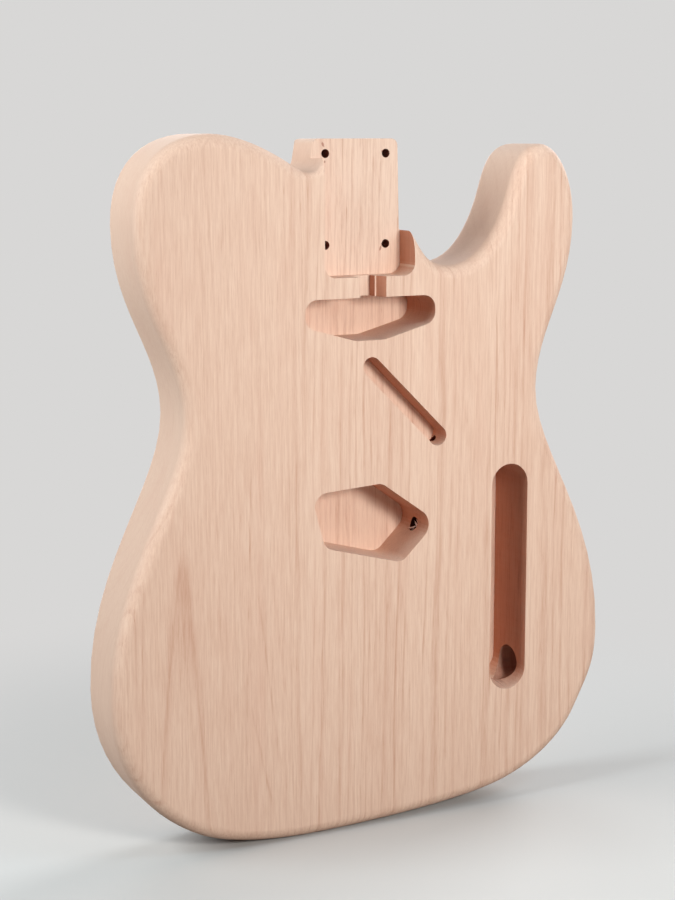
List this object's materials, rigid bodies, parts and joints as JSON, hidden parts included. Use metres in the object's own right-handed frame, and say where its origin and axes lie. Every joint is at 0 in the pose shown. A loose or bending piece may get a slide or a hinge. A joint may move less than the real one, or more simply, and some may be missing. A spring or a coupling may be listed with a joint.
{
  "type": "electric guitar body",
  "caption": "Bare single-cutaway electric guitar body of edge-glued planks, with neck pocket, pickup routes, wire slot, control slot and side jack hole.",
  "frame": {"origin": "bottom centre of the body's bounding box, under the tail, halfway through the thickness", "axes": "+Z along the neck line from the tail to the neck heel, +Y out of the back, so the front face looks along -Y, +X to the treble side"},
  "size_m": [0.3178, 0.045, 0.4017],
  "materials": {
    "bass_wood": "sanded bare",
    "centre_wood": "sanded bare",
    "treble_wood": "sanded bare"
  },
  "bodies": {
    "root": {"bass_plank": "bass_wood", "centre_plank": "centre_wood", "treble_plank": "treble_wood"}
  },
  "joints": []
}
